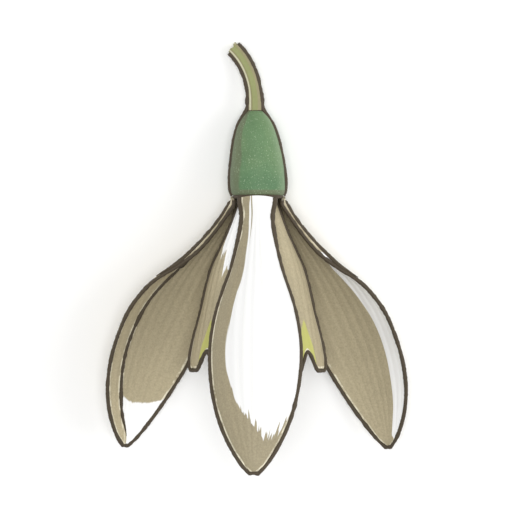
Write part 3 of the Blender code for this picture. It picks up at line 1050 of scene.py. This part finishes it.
def ovary_finish():
    """Green skin, blue-green in patches and low down, with a pale painted highlight on the right and a
    brown-green painted shade.

    The painted shade lies up the left side and round the foot.
    """
    made, tree, shader = new_material("ovary_green", Roughness=0.55, Specular_IOR_Level=0.25)
    _, around, height = shares_of(tree)
    place = object_place(tree)
    patches = steps(tree, noise_at(tree, place, 330, 3, 0.6), 0.42, 0.66)
    low = inverse(tree, steps(tree, height, 0.05, 0.55))
    patches = maths(tree, "MULTIPLY_ADD", low, 0.5, product(tree, patches, 0.3))
    colour = blend(tree, patches, OVARY_GREEN, OVARY_BLUE_GREEN)
    # A pale painted highlight on the ovary's right side.
    highlight = inverse(tree, steps(tree, distance(tree, around, HIGHLIGHT_AROUND), 0.02, 0.12))
    colour = blend(tree, product(tree, highlight, 0.25), colour, OVARY_PALE_HIGHLIGHT_AND_FLECKS)
    from_left = distance(tree, around, LEFT_AROUND)
    wobble = maths(tree, "MULTIPLY_ADD", noise_at(tree, place, 500, 2), 0.05, from_left)
    side = inverse(tree, steps(tree, wobble, 0.155, 0.175))
    uneven = maths(tree, "MULTIPLY_ADD", noise_at(tree, place, 400, 2), -0.03, height)
    foot = inverse(tree, steps(tree, uneven, 0.05, 0.07))
    shade = product(tree, maths(tree, "MAXIMUM", side, foot), 0.85)
    colour = blend(tree, shade, colour, OVARY_SHADE)
    bumps = grained(tree, shader, colour, Mottle=0.3, Grain=0.45, Flecks=0.5, Fleck_Color=OVARY_PALE_HIGHLIGHT_AND_FLECKS)
    bump(tree, shader, bumps, 0.4, 0.04 * MM)
    return made


def stalk_finish():
    """Beige stalk with yellow-green bands that run along it, and one cream streak along it, which is a
    painted highlight.
    """
    made, tree, shader = new_material("stalk_olive", Roughness=0.5, Specular_IOR_Level=0.35)
    shares, around, _ = shares_of(tree)
    phase = product(tree, maths(tree, "SUBTRACT", around, LEFT_AROUND), 6 * math.pi)
    streak = stretched_noise(tree, shares, 30, 3, 3)
    wave = maths(tree, "MULTIPLY_ADD", streak, 1.2, maths(tree, "COSINE", phase))
    colour = blend(tree, steps(tree, wave, 0.5, 1.1), STALK_BEIGE, STALK_GREEN)
    # The cream streak left of the front is a painted highlight.
    off = maths(tree, "MULTIPLY_ADD", streak, -0.03, distance(tree, around, STALK_HIGHLIGHT_AROUND))
    colour = blend(tree, inverse(tree, steps(tree, off, 0.0, 0.025)), colour, STALK_CREAM)
    height = grained(tree, shader, colour, Mottle=0.25, Grain=0.15, Flecks=0.0)
    bump(tree, shader, maths(tree, "ADD", streak, height), 0.4, 0.03 * MM)
    return made


def simple_finish(name, colour, roughness, mottle=0.25, grain_share=0.2, bump_share=0.3):
    """One colour with the tissue's mottling and grain."""
    made, tree, shader = new_material(name, Roughness=roughness, Specular_IOR_Level=0.35)
    height = grained(tree, shader, colour, Mottle=mottle, Grain=grain_share, Flecks=0.0)
    bump(tree, shader, height, bump_share, 0.03 * MM)
    return made


# ---------------- the flower


def tepal_sheet(name, tepal, form, notched, finishes, slot):
    """A tepal: a furrowed sheet, thinner at its margins, with its shares across and along as its UV map.

    Two attributes hold distances in millimetres: "margin" from the nearest margin, which on a notched tepal
    may be its end, and "fold" past the fold line.
    """
    place = surface(tepal, form, notched)
    shape = bmesh.new()
    bmesh.ops.create_grid(shape, x_segments=form["cells"][0], y_segments=form["cells"][1], size=1)
    rooted = -(ROOTING if notched else CLAW_ROOTING) / form["length"]
    shares = []
    for v in shape.verts:
        t = (v.co.y + 1) / 2
        shares.append((v.co.x, rooted + (1 - rooted) * (1 - (1 - t) ** ROW_POWER)))
    shape.verts.index_update()
    uv = shape.loops.layers.uv.new("shares")
    for face in shape.faces:
        for loop in face.loops:
            across, along = shares[loop.vert.index]
            loop[uv].uv = ((across + 1) / 2, max(0.0, along))
    margin = shape.verts.layers.float.new("margin")
    fold = shape.verts.layers.float.new("fold")
    for v, (across, along) in zip(shape.verts, shares):
        point, normal = place(across, along)
        wide = half_width_at(tepal, form, along)
        inside = (1 - abs(across)) * wide
        if notched:
            inside = min(inside, (1 - along) * form["length"])
        v[margin] = inside / MM
        v[fold] = (across - smooth_curve(FOLD, min(FOLD_END, max(FOLD[0][0], along)))) * wide / MM
        v.co = point - normal * furrow(across, along, form)
    mesh = bpy.data.meshes.new(name)
    shape.to_mesh(mesh)
    shape.free()
    for finish in finishes:
        mesh.materials.append(finish)
    made = link(name + "_sheet", mesh)
    depth = made.vertex_groups.new(name="thickness")
    for i, (across, along) in enumerate(shares):
        edge = max(abs(across), 1 - (1 - along) / MARGIN_END) ** MARGIN_POWER
        depth.add([i], 1 - (1 - MARGIN_SHARE) * edge, "REPLACE")
    solid = made.modifiers.new("thickness", "SOLIDIFY")
    solid.thickness = form["thickness"]
    solid.offset = 0
    solid.use_even_offset = True
    solid.vertex_group = depth.name
    solid.material_offset = len(finishes) - 1
    done = plain_mesh(made)
    smooth(done)
    return piece(name + "_grown", done, slot, name)


def outer_tepals(brown):
    finishes = {
        # The middle tepal faces the lights, so its khaki and its white are darker copies: painted shade.
        "outer_tepal_middle": tepal_finish("tepal_middle", SHADED_KHAKI_TOP, WHITE_TOP, lit_white_of_middle),
        "outer_tepal_right": tepal_finish("tepal_right", SHADED_KHAKI, WHITE, highlight_of_right),
        "outer_tepal_left": tepal_finish("tepal_left", SHADED_KHAKI, WHITE, lit_white_of_left, folded=True),
    }
    for name, tepal in OUTER_TEPALS.items():
        tepal_sheet(name, tepal, OUTER, False, [finishes[name]], "outer_tepal")
        if name == "outer_tepal_middle":
            lines = [margin_line(tepal, OUTER, False, FRONT_LIFT, CLAW_THICKENING)]
        else:
            lines = [margin_line(tepal, OUTER, False, SIDE_LIFT, 0.0), rim_line(tepal, OUTER, OUTER_RIM_END)]
        ribs(name + "_margin", lines, TEPAL_RIB, brown, "outer_tepal")
    fold = drawn_line(OUTER_TEPALS["outer_tepal_left"], OUTER, FOLD, FOLD_LIFT)
    ribs("outer_tepal_left_fold", [fold], TEPAL_RIB, brown, "outer_tepal")


def inner_tepals(brown):
    inside = tepal_finish("inner_tepal_inside", SHADED_KHAKI, WHITE, None, mark=stripes_inside)
    marked = tepal_finish("inner_tepal_outside", SHADED_KHAKI, WHITE, None, mark=mark_of_inner)
    # The left inner tepal's outside carries a painted highlight, a white sliver.
    gleaming = tepal_finish("inner_tepal_gleaming", SHADED_KHAKI, WHITE, highlight_of_inner, mark=mark_of_inner)
    for name, tepal in INNER_TEPALS.items():
        outside = gleaming if name == "inner_tepal_left" else marked
        tepal_sheet(name, tepal, INNER, True, [inside, outside], "inner_tepal")
        lines = [margin_line(tepal, INNER, True, FRONT_LIFT, CLAW_THICKENING)]
        if name != "inner_tepal_back":
            lines.append(rim_line(tepal, INNER, INNER_RIM_END))
        ribs(name + "_margin", lines, TEPAL_RIB, brown, "inner_tepal")


def seams(finish):
    """Brown ribs up the ovary's two sides and on up the stalk's, and round the ovary's foot and neck."""
    lines = []
    spine = stalk_spine()
    count = 60
    for sign in (1, -1):
        line = [ovary_point(sign * SEAM_AZIMUTH, OVARY_HEIGHT * i / count) for i in range(count)]
        line += [c + s * r * sign * 0.97 for c, _, s, r in spine]
        line = relaxed(line)
        thickness = [0.85 + 0.2 * ease((i - 40) / 30) for i in range(len(line))]
        weights = [share * rough(p, SEAM_ROUGHNESS) for share, p in zip(thickness, line)]
        lines.append((line, weights, False))
    for height, front, weight in SEAM_RINGS:
        skin = [ovary_point(azimuth, max(0.0, height)) for azimuth in turns(96)]
        ring = [Vector((p.x * min(1, front), p.y * front, height)) for p in skin]
        lines.append((ring, [weight * rough(p, FOOT_ROUGHNESS) for p in ring], True))
    ribs("ovary_and_stalk_seams", lines, SEAM_RIB, finish, "ovary")


def build_flower():
    brown = simple_finish("margin_brown", BROWN, 0.65)
    outer_tepals(brown)
    inner_tepals(brown)
    ovary(ovary_finish())
    stalk(stalk_finish(), simple_finish("stalk_pith", STALK_CREAM, 0.7, 0.3, 0.3, 0.5))
    seams(brown)
    thread = simple_finish("filament_white", FILAMENT_WHITE, 0.5)
    sac = simple_finish("anther_orange", ANTHER_ORANGE, 0.65, 0.4, 0.4, 0.6)
    for number in range(1, STAMEN_COUNT + 1):
        stamen(number, thread, sac)
    style(simple_finish("style_green", STYLE_GREEN, 0.45))


# ---------------- floor, light and camera


def set_stage():
    """A plain pale floor, and soft light: most of it from the camera's side, and some from left and right."""
    mesh = bpy.data.meshes.new("floor")
    mesh.from_pydata([(x * FLOOR_HALF, y * FLOOR_HALF, FLOOR_DROP) for x, y in FLOOR_CORNERS], [], [range(4)])
    white = new_material("floor_white", Base_Color=FLOOR_WHITE, Roughness=0.9, Specular_IOR_Level=0.1)
    mesh.materials.append(white[0])
    link("floor", mesh)
    world = bpy.data.worlds.new("studio")
    world.use_nodes = True
    background = world.node_tree.nodes["Background"]
    background.inputs["Color"].default_value = (1, 1, 1, 1)
    background.inputs["Strength"].default_value = 0.5
    bpy.context.scene.world = world
    lamp("overhead_light", FLOWER.to_3x3() @ Vector((0.0, -0.4, 0.0)), 0.2, 0.76)
    lamp("right_light", Vector((0.32, 0.04, 0.2)), 0.3, 0.62)
    lamp("left_light", Vector((-0.32, 0.04, 0.2)), 0.3, 0.24)


def lamp(name, place, size, power):
    """A round lamp that shines at the flower."""
    data = bpy.data.lights.new(name, "AREA")
    data.shape = "DISK"
    data.size = size
    data.energy = power
    made = bpy.data.objects.new(name, data)
    made.location = place
    made.rotation_mode = "QUATERNION"
    made.rotation_quaternion = (-place).to_track_quat("-Z", "Y")
    bpy.context.scene.collection.objects.link(made)


def set_camera():
    """A long lens that looks along the flower's +Y, square on to its axis, with the stalk upwards."""
    data = bpy.data.cameras.new("camera")
    data.lens = 300
    view_height = 44.9 * MM
    distance = view_height * data.lens / data.sensor_width
    data.clip_start = 0.01
    data.clip_end = 10
    made = bpy.data.objects.new("camera", data)
    target = Vector((-0.17 * MM, 1.0 * MM, -5.2 * MM))
    turn = FLOWER.to_3x3() @ Matrix(((1, 0, 0), (0, 0, -1), (0, 1, 0)))
    place = FLOWER @ (target + Vector((0, -distance, 0)))
    made.matrix_world = Matrix.Translation(place) @ turn.to_4x4()
    bpy.context.scene.collection.objects.link(made)
    bpy.context.scene.camera = made


RIBS = rib_tree()
GRAIN = grain_group()
VEINS = vein_group()
set_camera()
set_stage()
build_flower()
bpy.context.scene.view_settings.view_transform = "Standard"
